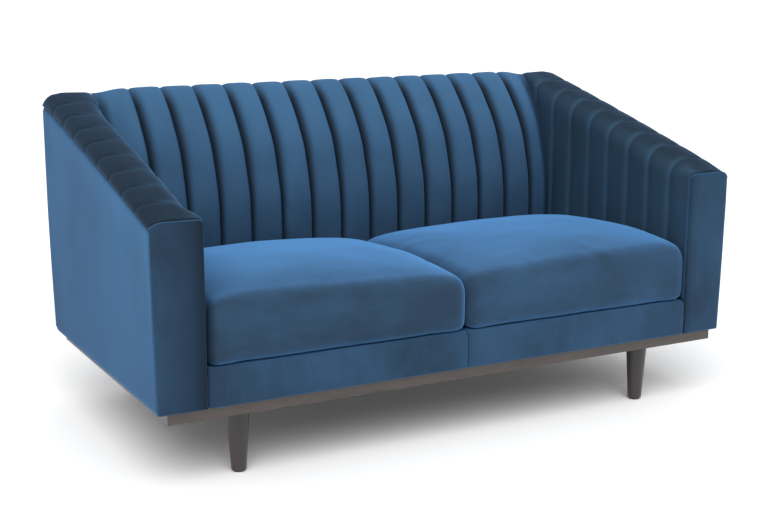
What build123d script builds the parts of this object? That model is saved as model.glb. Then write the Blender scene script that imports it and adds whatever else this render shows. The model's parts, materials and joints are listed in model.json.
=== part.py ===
from build123d import *
import math
import os

# A compact sofa in channelled velvet on a recessed timber plinth and four turned legs.
# While it is shaped, x runs across the sofa from its middle, y runs back from the arm fronts
# and z up from the floor. Saving moves it so the origin is under the middle, front towards -Y.
# All sizes are in millimetres.

# Overall sizes
sofa_width = 1516.0
sofa_depth = 776.0
sofa_height = 782.0
arm_width = 120.5
arm_bottom_inset = 6.5
leg_height = 150.0
plinth_height = 25.0
base_height = 70.0
deck_thickness = 17.0

# Arms: height of the outer top seam at the front, and the crown above it at both ends
arm_front_seam = 566.0
arm_seam_bow = 5.0
arm_front_crown = 21.0
arm_rear_crown = 26.0
arm_roll = 46.0
arm_front_roll = 9.0
arm_widest_height = 500.0
arm_first_groove = 91.0
arm_last_channel = 90.0
arm_channels = 9

# Back: its rear seam lies below the crest, and its face rakes back above the seat
crest_rise = 38.0
back_depth = 154.0
back_padding = 60.0
back_rake = 188.0
back_rake_start = 178.0
back_end_channel = 91.5
back_channels = 15
back_corner_tuck = 42.0
groove_depth = 8.0

# Upholstery layers
cover_thickness = 12.0
panel_thickness = 13.0
panel_soft_edge = 3.0
pad_thickness = 25.5
border_thickness = 13.0
border_front = 1.0
border_return = 64.0
board_thickness = 4.0
cloth_thickness = 0.8
soft_clearance = 0.3

# Seat cushions
cushion_front = 2.0
cushion_rear_gap = 1.5
cushion_gap = 0.4
cushion_edge_height = 138.0
cushion_crown = 27.0
cushion_corner = 20.0
cushion_wall = 15.0
zip_length = 460.0
zip_width = 9.0
zip_depth = 2.0

# Timber sections
rail_thickness = 25.0
post_width = 45.0
arm_post_depth = 45.0
arm_top_rail = 38.0
plinth_inset = 30.0
plinth_front = 11.0
plinth_rear_inset = 11.0
bearer_width = 92.0
corner_block = 70.0
arm_timber_drop_front = 16.0
arm_timber_drop_rear = 12.0
back_timber_drop = 4.0
back_top_rail_height = 50.0
back_top_rail_depth = 34.0

# Legs and hardware
leg_side_inset = 212.0
leg_inset = 72.0
leg_top_radius = 26.5
leg_foot_radius = 17.0
glide_thickness = 3.0
glide_radius = 13.0
glide_pin_radius = 1.5
glide_pin_length = 15.0
hanger_radius = 4.0
hanger_depth = 40.0
tee_nut_radius = 5.5
tee_nut_flange = 11.0
tee_nut_flange_thickness = 1.5
bolt_radius = 4.0
bolt_length = 90.0
bolt_head_radius = 7.5
bolt_head_thickness = 5.5
washer_radius = 11.0
washer_thickness = 2.0
screw_radius = 2.5
screw_length = 60.0
screw_head_radius = 5.0
screw_head_depth = 3.5
dowel_radius = 4.0
dowel_length = 40.0
springs = 8
spring_side_gap = 112.5
spring_wire = 1.8
spring_bars = 24
spring_half_bar = 14.0
clip_width = 26.0
clip_depth = 10.0
clip_height = 14.0
strap_width = 60.0
strap_thickness = 1.5

# Levels and lines that follow from the sizes above
half_width = sofa_width / 2
arm_inner = half_width - arm_width
rear_seam_height = sofa_height - crest_rise
base_bottom = leg_height + plinth_height
rail_top = base_bottom + base_height
deck_top = rail_top + deck_thickness
inner_board_face = arm_inner + pad_thickness
inner_board_back = inner_board_face + board_thickness
outer_board_face = half_width - cover_thickness
outer_board_back = outer_board_face - board_thickness
arm_foot = half_width - arm_bottom_inset
back_board_face = sofa_depth - cover_thickness
frame_rear = back_board_face - board_thickness
post_front = sofa_depth - back_depth
seat_back_rail_front = post_front - rail_thickness
front_rail_front = border_front + border_thickness
front_rail_rear = front_rail_front + rail_thickness
back_face = post_front - back_padding
plinth_half = half_width - plinth_inset
plinth_back = sofa_depth - plinth_rear_inset
leg_x = half_width - leg_side_inset
leg_ys = [leg_inset, sofa_depth - leg_inset]
arm_channel_pitch = (sofa_depth - arm_first_groove - arm_last_channel) / (arm_channels - 2)
back_channel_pitch = (arm_inner - back_end_channel) * 2 / (back_channels - 2)
spring_spacing = (arm_inner - spring_side_gap) * 2 / (springs - 1)

os.makedirs("parts", exist_ok=True)
to_origin = Pos(0, -sofa_depth / 2, 0)


def save(name, *shapes):
    moved = [to_origin * shape for shape in shapes]
    whole = moved[0] if len(moved) == 1 else Compound(children=moved)
    export_step(whole, "parts/" + name + ".step")


def block(x_range, y_range, z_range):
    size = [high - low for low, high in (x_range, y_range, z_range)]
    middle = [(high + low) / 2 for low, high in (x_range, y_range, z_range)]
    return Pos(*middle) * Box(*size)


def side_prism(x_low, x_high, outline):
    # A board cut to an outline of (y, z) points and laid across x.
    face = Plane.YZ.offset(x_low) * make_face(Polyline(outline, close=True))
    return extrude(face, amount=x_high - x_low, dir=(1, 0, 0))


def upright(x, y, z_low, z_high, radius):
    return Pos(x, y, (z_low + z_high) / 2) * Cylinder(radius, z_high - z_low)


def along_x(x_low, x_high, y, z, radius):
    rod = Rot(0, 90, 0) * Cylinder(radius, x_high - x_low)
    return Pos((x_low + x_high) / 2, y, z) * rod


def along_y(x, y_low, y_high, z, radius):
    rod = Rot(90, 0, 0) * Cylinder(radius, y_high - y_low)
    return Pos(x, (y_low + y_high) / 2, z) * rod


def mirrored(shape):
    return mirror(shape, about=Plane.YZ)


def less(shape, *cutters):
    for cutter in cutters:
        shape = shape - cutter
    return shape


# Heights along the arm, from its front to its rear

def seam_height(y):
    t = min(max(y / back_board_face, 0.0), 1.0)
    line = arm_front_seam + (rear_seam_height - arm_front_seam) * t
    return line + 4.0 * arm_seam_bow * t * (1.0 - t)


def rear_drop(y):
    # The arm and back crests both roll over into the rear seam.
    roll = 40.0
    t = min(max((y - (sofa_depth - roll)) / roll, 0.0), 1.0)
    return 1.0 - math.sqrt(1.0 - t * t)


def crest_height(y):
    crown = arm_front_crown + (arm_rear_crown - arm_front_crown) * y / sofa_depth
    return seam_height(y) + crown * (1.0 - 0.85 * rear_drop(y))


def frame_height(y):
    # The arm's timber top runs straight from its front post to its rear post.
    front = arm_front_seam - arm_timber_drop_front
    rear = rear_seam_height - arm_timber_drop_rear
    t = (y - panel_thickness) / (frame_rear - panel_thickness)
    return front + (rear - front) * t


def arm_outline(y_low, y_high, drop):
    return [
        (y_low, base_bottom),
        (y_high, base_bottom),
        (y_high, frame_height(y_high) - drop),
        (y_low, frame_height(y_low) - drop),
    ]


# Arm frame, right side

arm_front_post = side_prism(
    inner_board_back,
    outer_board_back,
    arm_outline(panel_thickness, panel_thickness + arm_post_depth, arm_top_rail),
)
arm_rear_post = side_prism(
    inner_board_back,
    outer_board_back,
    arm_outline(frame_rear - arm_post_depth, frame_rear, arm_top_rail),
)
arm_top = side_prism(
    inner_board_back,
    outer_board_back,
    [
        (panel_thickness, frame_height(panel_thickness) - arm_top_rail),
        (frame_rear, frame_height(frame_rear) - arm_top_rail),
        (frame_rear, frame_height(frame_rear)),
        (panel_thickness, frame_height(panel_thickness)),
    ],
)
arm_bottom_rail = block(
    (inner_board_back, inner_board_back + rail_thickness),
    (panel_thickness + arm_post_depth, frame_rear - arm_post_depth),
    (base_bottom, rail_top),
)
arm_inner_board = side_prism(
    inner_board_face, inner_board_back, arm_outline(panel_thickness, frame_rear, 0.0)
)
arm_outer_board = side_prism(
    outer_board_back,
    outer_board_face,
    arm_outline(panel_thickness, back_board_face, 0.0),
)

# Arm upholstery, right side


def cover_slab():
    # The space between the outer board and the widest line of the arm, up to the seam.
    top_points = [(y, seam_height(y)) for y in (0.0, sofa_depth * 0.5, back_board_face)]
    edge = Spline([(y, z) for y, z in top_points])
    end = top_points[-1]
    rest = Polyline(
        end,
        (sofa_depth, end[1]),
        (sofa_depth, base_bottom),
        (0.0, base_bottom),
        top_points[0],
    )
    face = Plane.YZ.offset(outer_board_face) * make_face(edge + rest)
    return extrude(face, amount=cover_thickness, dir=(1, 0, 0))


def outer_lean():
    # The outer side leans out from the floor edge up to its widest line.
    lean = make_face(
        Polyline(
            (outer_board_face - 1.0, base_bottom - 1.0),
            (arm_foot, base_bottom - 1.0),
            (arm_foot, base_bottom),
            (half_width, arm_widest_height),
            (half_width, sofa_height),
            (outer_board_face - 1.0, sofa_height),
            close=True,
        )
    )
    sloped = Plane.XZ.offset(-sofa_depth - 1.0) * lean
    return extrude(sloped, amount=sofa_depth + 2.0, dir=(0, -1, 0))


arm_cover_space = cover_slab()
arm_cover = arm_cover_space & outer_lean()
cover_corners = arm_cover.edges().filter_by(
    lambda edge: abs(edge.tangent_at(0.5).Z) > 0.95
    and edge.center().X > outer_board_face + 1.0
)
arm_cover = fillet(cover_corners, 4.0)


def arm_section(y, inset, roll):
    # Outline of the channelled skin across the arm: up its inner face, over the top and out
    # to the seam. It is drawn right through the frame, which is cut away afterwards.
    inner = arm_inner + inset
    outer = half_width - 0.3
    top = crest_height(y) - inset * 0.8
    seam = seam_height(y)
    foot = (inner, deck_top)
    start = (inner, top - roll)
    bend = (inner + roll * (1 - math.sqrt(0.5)), top - roll * (1 - math.sqrt(0.5)))
    crown = (inner + roll, top)
    shoulder = (outer - 28.0, top)
    edge_mid = (outer - 6.0, seam + (top - seam) * 0.6)
    edge = (outer, seam - 6.0)
    heel = (outer, deck_top)
    outline = (
        Line(foot, start)
        + ThreePointArc(start, bend, crown)
        + Line(crown, shoulder)
        + ThreePointArc(shoulder, edge_mid, edge)
        + Line(edge, heel)
        + Line(heel, foot)
    )
    return Plane.XZ.offset(-y) * make_face(outline)


def channel_sections(low, high, make):
    span = high - low
    steps = [(0.0, 1.0), (0.14, 0.3), (0.5, 0.0), (0.86, 0.3), (1.0, 1.0)]
    return loft([make(low + span * at, groove_depth * deep) for at, deep in steps])


def arm_roll_at(y):
    # The roll starts tight against the front panel and opens out behind it.
    t = min(max((y - panel_thickness) / 40.0, 0.0), 1.0)
    return arm_front_roll + (arm_roll - arm_front_roll) * math.sin(t * math.pi / 2)


arm_grooves = [arm_first_groove + arm_channel_pitch * i for i in range(arm_channels - 1)]
arm_edges = [panel_thickness] + arm_grooves + [sofa_depth]
arm_channel_solids = [
    channel_sections(low, high, lambda y, inset: arm_section(y, inset, arm_roll_at(y)))
    for low, high in zip(arm_edges[:-1], arm_edges[1:])
]
arm_form = arm_channel_solids[0]
for solid in arm_channel_solids[1:]:
    arm_form = arm_form + solid

arm_envelope = side_prism(
    inner_board_face, outer_board_face, arm_outline(panel_thickness - 5.0, frame_rear, 0.0)
)
rear_cover_space = block(
    (-half_width, half_width), (frame_rear, sofa_depth + 1.0), (0.0, rear_seam_height)
)

arm_panel_outline = (
    Line((arm_inner + 2.5, base_bottom), (arm_inner + 2.5, arm_front_seam + 8.0))
    + ThreePointArc(
        (arm_inner + 2.5, arm_front_seam + 8.0),
        (arm_inner + 4.5, arm_front_seam + 13.0),
        (arm_inner + 10.0, arm_front_seam + 15.0),
    )
    + Line(
        (arm_inner + 10.0, arm_front_seam + 15.0),
        (half_width - 28.0, arm_front_seam + 17.0),
    )
    + ThreePointArc(
        (half_width - 28.0, arm_front_seam + 17.0),
        (half_width - 8.0, arm_front_seam + 10.0),
        (half_width, arm_front_seam - 0.3),
    )
    + Polyline(
        (half_width, arm_front_seam - 0.3),
        (half_width, arm_widest_height),
        (arm_foot, base_bottom),
    )
    + Line((arm_foot, base_bottom), (arm_inner + 2.5, base_bottom))
)
panel_face = make_face(arm_panel_outline)
panel_front = offset(panel_face, amount=-panel_soft_edge)
arm_panel = extrude(
    Plane.XZ.offset(-panel_soft_edge) * panel_face,
    amount=-(panel_thickness - panel_soft_edge),
) + loft([Plane.XZ * panel_front, Plane.XZ.offset(-panel_soft_edge) * panel_face], ruled=True)
arm_panel = arm_panel - arm_cover_space

# Back frame

post_top = rear_seam_height - back_timber_drop
back_line = [
    (post_front, base_bottom),
    (frame_rear, base_bottom),
    (frame_rear, post_top),
    (frame_rear - back_top_rail_depth - 4.0, post_top),
    (post_front + 18.0, deck_top + (post_top - deck_top) * 0.54),
    (post_front, deck_top + (post_top - deck_top) * 0.12),
]
post_outer = inner_board_face
post_inner = post_outer - post_width
back_right_post = side_prism(post_inner, post_outer, back_line)
back_centre_post = side_prism(-post_width / 2, post_width / 2, back_line)
back_top_rails = [
    block(
        x_range,
        (frame_rear - back_top_rail_depth, frame_rear),
        (post_top - back_top_rail_height, post_top),
    )
    for x_range in ((-post_inner, -post_width / 2), (post_width / 2, post_inner))
]
back_board = block(
    (-outer_board_back, outer_board_back),
    (frame_rear, back_board_face),
    (base_bottom, frame_height(frame_rear) - 1.0),
)
back_cover = block(
    (-outer_board_face, outer_board_face),
    (back_board_face, sofa_depth),
    (base_bottom, rear_seam_height),
)


def strap(x_low, x_high, start, finish):
    # Elastic webbing stretched over the fronts of the posts between two heights.
    dy = finish[0] - start[0]
    dz = finish[1] - start[1]
    length = math.hypot(dy, dz)
    ny = -dz / length * strap_thickness
    nz = dy / length * strap_thickness
    outline = [start, finish, (finish[0] + ny, finish[1] + nz), (start[0] + ny, start[1] + nz)]
    return side_prism(x_low, x_high, outline)


def front_of_post(z):
    for (y_low, z_low), (y_high, z_high) in (
        (back_line[5], back_line[4]),
        (back_line[4], back_line[3]),
    ):
        if z <= z_high:
            return y_low + (y_high - y_low) * (z - z_low) / (z_high - z_low)
    return back_line[3][0]


strap_heights = [deck_top + (post_top - deck_top) * share for share in (0.18, 0.35, 0.58, 0.75)]
back_straps = [
    strap(
        -post_outer,
        post_outer,
        (front_of_post(z), z),
        (front_of_post(z + strap_width), z + strap_width),
    )
    for z in strap_heights
]

# Back upholstery: fifteen channels in one padded skin that rolls over the crest

rake_bottom = deck_top + back_rake_start
crest_steps = (0.0, 0.2, 0.38, 0.56, 0.72, 0.86, 0.955, 1.0)


def crest_point(share):
    # The face leans back ever more steeply until it turns over level at the crest.
    y = back_face + back_rake * (1.0 - (1.0 - share * share) ** 0.75)
    z = rake_bottom + (sofa_height - rake_bottom) * share
    return y, z


def crest_push(share):
    # Which way a groove sinks: straight back low down, mostly down at the crest.
    return 1.0 - 0.9 * share ** 4, -0.6 * math.sin(share * math.pi / 2)


def back_section(x, inset, tuck):
    front = [(back_face + inset + tuck, deck_top)]
    for share in crest_steps:
        y, z = crest_point(share)
        back, down = crest_push(share)
        front.append((y + (inset + tuck) * back, z + (inset + tuck * 0.25) * down))
    crest = front[-1]
    seam = (sofa_depth, rear_seam_height)
    bend = (
        crest[0] + (seam[0] - crest[0]) * 0.67,
        seam[1] + (crest[1] - seam[1]) * 0.72,
    )
    heel = (sofa_depth, deck_top)
    outline = (
        Line(front[0], front[1])
        + Spline(front[1:], tangents=[(0, 1), (1, 0.05)])
        + ThreePointArc(crest, bend, seam)
        + Line(seam, heel)
        + Line(heel, front[0])
    )
    return Plane.YZ.offset(x) * make_face(outline)


back_grooves = [
    back_channel_pitch * (i - back_channels / 2) for i in range(1, back_channels)
]
middle_channels = [
    channel_sections(low, high, lambda x, inset: back_section(x, inset, 0.0))
    for low, high in zip(back_grooves[:-1], back_grooves[1:])
]
last_groove = back_grooves[-1]
corner_steps = [
    (0.0, 1.0, 0.0),
    (0.14, 0.3, 0.0),
    (0.45, 0.0, 0.0),
    (0.8, 0.0, 0.35),
    (1.0, 0.0, 1.0),
]
right_corner = loft(
    [
        back_section(
            last_groove + (arm_inner - soft_clearance - last_groove) * at,
            groove_depth * deep,
            back_corner_tuck * tuck,
        )
        for at, deep, tuck in corner_steps
    ]
)
back_form = mirrored(right_corner)
for solid in middle_channels + [right_corner]:
    back_form = back_form + solid

back_envelope = side_prism(-post_outer, post_outer, back_line)
back_pad = less(back_form, back_envelope, rear_cover_space, *back_straps)

arm_pad = less(
    arm_form,
    arm_envelope,
    arm_cover_space,
    rear_cover_space,
    side_prism(post_inner, post_outer, back_line),
    *back_straps,
)

# Seat base frame

seat_front_rail = block(
    (-arm_inner, arm_inner), (front_rail_front, front_rail_rear), (base_bottom, rail_top)
)
seat_back_rail = block(
    (-arm_inner, arm_inner), (seat_back_rail_front, post_front), (base_bottom, rail_top)
)
seat_side_rail = block(
    (arm_inner, inner_board_face), (front_rail_front, post_front), (base_bottom, rail_top)
)
seat_centre_rail = block(
    (-rail_thickness / 2, rail_thickness / 2),
    (front_rail_rear, seat_back_rail_front),
    (base_bottom, rail_top - 20.0),
)


def corner_prism(x_sign, y_corner, y_sign):
    x_corner = x_sign * arm_inner
    corner = [
        (x_corner, y_corner),
        (x_corner - x_sign * corner_block, y_corner),
        (x_corner, y_corner + y_sign * corner_block),
    ]
    face = Plane.XY.offset(base_bottom + 10.0) * make_face(Polyline(corner, close=True))
    return extrude(face, amount=40.0, dir=(0, 0, 1))


corner_blocks = [
    corner_prism(x_sign, y_corner, y_sign)
    for x_sign in (-1, 1)
    for y_corner, y_sign in ((front_rail_rear, 1), (seat_back_rail_front, -1))
]

# Springs: zigzag wires from the front rail to the back rail, held by clips

spring_first = front_rail_rear + clip_depth / 2
spring_last = seat_back_rail_front - clip_depth / 2
spring_step = (spring_last - spring_first) / spring_bars
spring_z = rail_top - spring_wire - soft_clearance


def spring_path():
    path = []
    side = 1
    for i in range(spring_bars + 1):
        y = spring_first + spring_step * i
        start = (-side * spring_half_bar, y)
        finish = (side * spring_half_bar, y)
        path.append(Line(start, finish))
        if i < spring_bars:
            bend = (side * (spring_half_bar + spring_step / 2), y + spring_step / 2)
            path.append(ThreePointArc(finish, bend, (side * spring_half_bar, y + spring_step)))
        side = -side
    return Wire([edge for piece in path for edge in piece.edges()])


zigzag = Pos(0, 0, spring_z) * spring_path()
wire_end = Plane(origin=(-spring_half_bar, spring_first, spring_z), z_dir=(1, 0, 0))
one_spring = sweep(wire_end * Circle(spring_wire), path=zigzag)
spring_xs = [spring_spacing * (i - (springs - 1) / 2) for i in range(springs)]
seat_springs = [Pos(x, 0, 0) * one_spring for x in spring_xs]
clip_bar = along_x(-spring_half_bar, spring_half_bar, spring_first, spring_z, spring_wire)
front_clip = (
    block(
        (-clip_width / 4, clip_width / 4),
        (front_rail_rear, front_rail_rear + clip_depth),
        (rail_top - clip_height, rail_top),
    )
    - clip_bar
)
rear_clip = mirror(front_clip, about=Plane.XZ.offset(-(spring_first + spring_last) / 2))
spring_clips = [Pos(x, 0, 0) * clip for x in spring_xs for clip in (front_clip, rear_clip)]

deck_pad = block(
    (-inner_board_face, inner_board_face), (border_return, post_front), (rail_top, deck_top)
)
border_profile = make_face(
    Polyline(
        (border_front, base_bottom),
        (front_rail_front, base_bottom),
        (front_rail_front, rail_top),
        (border_return, rail_top),
        (border_return, deck_top),
        (border_front, deck_top),
        close=True,
    )
)
right_border = extrude(
    Plane.YZ.offset(cushion_gap) * border_profile,
    amount=arm_inner - 1.0 - cushion_gap,
    dir=(1, 0, 0),
)
front_face = right_border.faces().sort_by(Axis.Y)[0]
right_border = fillet(front_face.edges(), 6.0)

# Plinth

plinth_front_rail = block(
    (-plinth_half, plinth_half),
    (plinth_front, plinth_front + rail_thickness),
    (leg_height, base_bottom),
)
plinth_back_rail = block(
    (-plinth_half, plinth_half),
    (plinth_back - rail_thickness, plinth_back),
    (leg_height, base_bottom),
)
plinth_side_rail = block(
    (plinth_half - rail_thickness, plinth_half),
    (plinth_front + rail_thickness, plinth_back - rail_thickness),
    (leg_height, base_bottom),
)
leg_bearer = block(
    (leg_x - bearer_width / 2, leg_x + bearer_width / 2),
    (plinth_front + rail_thickness, plinth_back - rail_thickness),
    (leg_height, base_bottom),
)

# Legs, with a hanger bolt up into a tee nut and a glide underneath

leg_places = [(x, y) for x in (-leg_x, leg_x) for y in leg_ys]
leg_names = ["front_left_leg", "rear_left_leg", "front_right_leg", "rear_right_leg"]
leg_profile = make_face(
    Polyline(
        (0.0, glide_thickness),
        (leg_foot_radius, glide_thickness),
        (leg_top_radius, leg_height),
        (0.0, leg_height),
        close=True,
    )
)
plain_leg = revolve(Plane.XZ * leg_profile, axis=Axis.Z)
foot_edge = plain_leg.edges().filter_by(GeomType.CIRCLE).sort_by(Axis.Z)[0]
plain_leg = fillet(foot_edge, 3.0)
hanger = upright(0, 0, leg_height - hanger_depth, base_bottom, hanger_radius)
glide = upright(0, 0, 0, glide_thickness, glide_radius) + upright(
    0, 0, 0, glide_thickness + glide_pin_length, glide_pin_radius
)
plain_leg = less(plain_leg, hanger, glide)
tee_nut = (
    upright(0, 0, base_bottom - 15.0, base_bottom, tee_nut_radius)
    + upright(0, 0, base_bottom - tee_nut_flange_thickness, base_bottom, tee_nut_flange)
    - hanger
)
legs = [Pos(x, y, 0) * plain_leg for x, y in leg_places]
hangers = [Pos(x, y, 0) * hanger for x, y in leg_places]
glides = [Pos(x, y, 0) * glide for x, y in leg_places]
tee_nuts = [Pos(x, y, 0) * tee_nut for x, y in leg_places]

dust_cover = block(
    (-plinth_half + 8.0, plinth_half - 8.0),
    (plinth_front + 8.0, plinth_back - 8.0),
    (leg_height - cloth_thickness, leg_height),
)
dust_cover = less(
    dust_cover,
    *[upright(x, y, 0, base_bottom, leg_top_radius + 1.0) for x, y in leg_places],
)

# Frame bolts run out through the seat side rails and the back posts into the arms


def frame_bolt(face_x, y, z):
    head_low = face_x - washer_thickness - bolt_head_thickness
    hexagon = extrude(
        Plane.YZ.offset(head_low) * RegularPolygon(bolt_head_radius, 6),
        amount=bolt_head_thickness,
        dir=(1, 0, 0),
    )
    shank_start = face_x - washer_thickness
    shank = along_x(shank_start, shank_start + bolt_length, 0, 0, bolt_radius)
    return Pos(0, y, z) * (hexagon + shank)


def bolt_washer(face_x, y, z):
    ring = along_x(face_x - washer_thickness, face_x, y, z, washer_radius)
    return ring - along_x(face_x - washer_thickness, face_x, y, z, bolt_radius)


seat_bolt_z = (base_bottom + rail_top) / 2
seat_bolt_ys = [leg_inset + 60.0, seat_back_rail_front - 110.0]
post_bolt_y = frame_rear - arm_post_depth / 2
post_bolt_zs = [base_bottom + 100.0, rear_seam_height - 150.0]
bolt_spots = [(arm_inner, y, seat_bolt_z) for y in seat_bolt_ys]
bolt_spots += [(post_inner, post_bolt_y, z) for z in post_bolt_zs]
right_bolts = [frame_bolt(*spot) for spot in bolt_spots]
right_washers = [bolt_washer(*spot) for spot in bolt_spots]
frame_bolts = right_bolts + [mirrored(bolt) for bolt in right_bolts]
bolt_washers = right_washers + [mirrored(washer) for washer in right_washers]


def plinth_screw(x, y):
    head = upright(x, y, leg_height, leg_height + screw_head_depth, screw_head_radius)
    return head + upright(x, y, leg_height, leg_height + screw_length, screw_radius)


arm_post_screw_x = plinth_half - rail_thickness / 2
front_screw_y = (front_rail_front + plinth_front + rail_thickness) / 2
rear_screw_y = plinth_back - rail_thickness / 2
screw_spots = [
    (side * arm_post_screw_x, y)
    for side in (-1, 1)
    for y in (plinth_front + rail_thickness + 12.0, plinth_back - rail_thickness - 12.0)
]
screw_spots += [(arm_inner * share, front_screw_y) for share in (-0.63, -0.24, 0.24, 0.63)]
screw_spots += [(x, rear_screw_y) for x in (-post_outer + 22.0, 0.0, post_outer - 22.0)]
plinth_screws = [plinth_screw(x, y) for x, y in screw_spots]

# Dowels: the arm rails into their posts, and the back's top rails into its posts

arm_rail_mid = inner_board_back + rail_thickness / 2
rail_ends = [panel_thickness + arm_post_depth, frame_rear - arm_post_depth]
right_dowels = [
    along_y(arm_rail_mid, y - dowel_length / 2, y + dowel_length / 2, z, dowel_radius)
    for y in rail_ends
    for z in (base_bottom + 20.0, rail_top - 20.0)
]
right_dowels += [
    along_x(
        x - dowel_length / 2,
        x + dowel_length / 2,
        frame_rear - back_top_rail_depth / 2,
        post_top - back_top_rail_height / 2,
        dowel_radius,
    )
    for x in (post_width / 2 + 4.0, post_inner)
]
frame_dowels = right_dowels + [mirrored(dowel) for dowel in right_dowels]

# Seat cushions: a foam core in a zipped velvet cover

cushion_half = (arm_inner - cushion_gap * 1.5) / 2
cushion_middle = cushion_gap / 2 + cushion_half
cushion_bottom = deck_top + cushion_gap
cushion_rear = back_face - cushion_rear_gap


def cushion_section(x, inset, crown):
    low_y = cushion_front + inset
    high_y = cushion_rear - inset
    low_z = cushion_bottom + inset
    edge_z = cushion_bottom + cushion_edge_height - inset
    top_z = edge_z + crown
    mid_y = (low_y + high_y) / 2
    r = cushion_corner
    k = r * (1 - math.sqrt(0.5))
    outline = (
        Line((low_y + r, low_z), (high_y - r, low_z))
        + ThreePointArc((high_y - r, low_z), (high_y - k, low_z + k), (high_y, low_z + r))
        + Line((high_y, low_z + r), (high_y, edge_z - r))
        + ThreePointArc((high_y, edge_z - r), (high_y - k, edge_z - k), (high_y - r, edge_z))
        + ThreePointArc((high_y - r, edge_z), (mid_y, top_z), (low_y + r, edge_z))
        + ThreePointArc((low_y + r, edge_z), (low_y + k, edge_z - k), (low_y, edge_z - r))
        + Line((low_y, edge_z - r), (low_y, low_z + r))
        + ThreePointArc((low_y, low_z + r), (low_y + k, low_z + k), (low_y + r, low_z))
    )
    return Plane.YZ.offset(x) * make_face(outline)


def cushion_form(shrink):
    # A crowned middle with an end cap rounded over on each side.
    half = cushion_half - shrink
    middle_steps = [(-0.95, 0.5), (-0.5, 0.88), (0.0, 1.0), (0.5, 0.88), (0.95, 0.5)]
    end_steps = [(0.95, 0.0, 0.5), (0.985, 3.5, 0.42), (1.0, 11.0, 0.35)]
    middle = loft(
        [
            cushion_section(half * at, shrink, cushion_crown * crown)
            for at, crown in middle_steps
        ]
    )
    cap = loft(
        [
            cushion_section(half * at, shrink + inset, cushion_crown * crown)
            for at, inset, crown in end_steps
        ]
    )
    return middle + cap + mirrored(cap)


cushion_core = Pos(cushion_middle, 0, 0) * cushion_form(cushion_wall)
cushion_zip = block(
    (cushion_middle - zip_length / 2, cushion_middle + zip_length / 2),
    (cushion_rear - zip_depth, cushion_rear),
    (cushion_bottom + 60.0, cushion_bottom + 60.0 + zip_width),
)
cushion_cover = less(
    Pos(cushion_middle, 0, 0) * cushion_form(0.0), cushion_core, cushion_zip
)

# Timber drilled for its bolts, screws and dowels

seat_side_rail = less(seat_side_rail, *right_bolts, *plinth_screws)
arm_inner_board = less(arm_inner_board, *right_bolts)
arm_bottom_rail = less(arm_bottom_rail, *right_bolts, *right_dowels)
arm_front_post = less(arm_front_post, *right_dowels, *plinth_screws)
arm_rear_post = less(arm_rear_post, *right_dowels, *right_bolts, *plinth_screws)
back_right_post = less(back_right_post, *right_bolts, *right_dowels, *plinth_screws)
back_centre_post = less(back_centre_post, *frame_dowels, *plinth_screws)
back_top_rails = [less(rail, *frame_dowels) for rail in back_top_rails]
seat_front_rail = less(seat_front_rail, *plinth_screws)
plinth_front_rail = less(plinth_front_rail, *plinth_screws)
plinth_back_rail = less(plinth_back_rail, *plinth_screws)
plinth_side_rail = less(plinth_side_rail, *plinth_screws)
leg_bearer = less(leg_bearer, *hangers, *tee_nuts)

# Saved pieces

for name, leg in zip(leg_names, legs):
    save(name, leg)
save("leg_glides", *glides)
save("leg_hanger_bolts", *hangers)
save("leg_tee_nuts", *tee_nuts)
save("plinth_front_rail", plinth_front_rail)
save("plinth_back_rail", plinth_back_rail)
save("plinth_screws", *plinth_screws)
save("plinth_side_rails", plinth_side_rail, mirrored(plinth_side_rail))
save("leg_bearers", leg_bearer, mirrored(leg_bearer))
save("dust_cover", dust_cover)
save("seat_front_rail", seat_front_rail)
save("seat_back_rail", seat_back_rail)
save("seat_centre_rail", seat_centre_rail)
save("seat_corner_blocks", *corner_blocks)
save("seat_springs", *seat_springs)
save("spring_clips", *spring_clips)
save("seat_deck_pad", deck_pad)
save("back_centre_post", back_centre_post)
save("back_top_rails", *back_top_rails)
save("back_webbing", *back_straps)
save("back_board", back_board)
save("back_outer_cover", back_cover)
save("back_channel_pad", back_pad)
save("frame_bolts", *frame_bolts)
save("bolt_washers", *bolt_washers)
save("frame_dowels", *frame_dowels)

handed = {
    "seat_side_rail": seat_side_rail,
    "base_border": right_border,
    "arm_front_post": arm_front_post,
    "arm_rear_post": arm_rear_post,
    "arm_top_rail": arm_top,
    "arm_bottom_rail": arm_bottom_rail,
    "arm_inner_board": arm_inner_board,
    "arm_outer_board": arm_outer_board,
    "arm_front_panel": arm_panel,
    "arm_outer_cover": arm_cover,
    "arm_channel_pad": arm_pad,
    "back_post": back_right_post,
    "seat_cushion_cover": cushion_cover,
    "seat_cushion_core": cushion_core,
    "seat_cushion_zip": cushion_zip,
}
for name, shape in handed.items():
    save("right_" + name, shape)
    save("left_" + name, mirrored(shape))
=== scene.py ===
import json
from math import cos, hypot, pi, radians, sin, sqrt

import bmesh
import bpy
from mathutils import Matrix, Vector, noise
from mathutils.bvhtree import BVHTree


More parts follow.
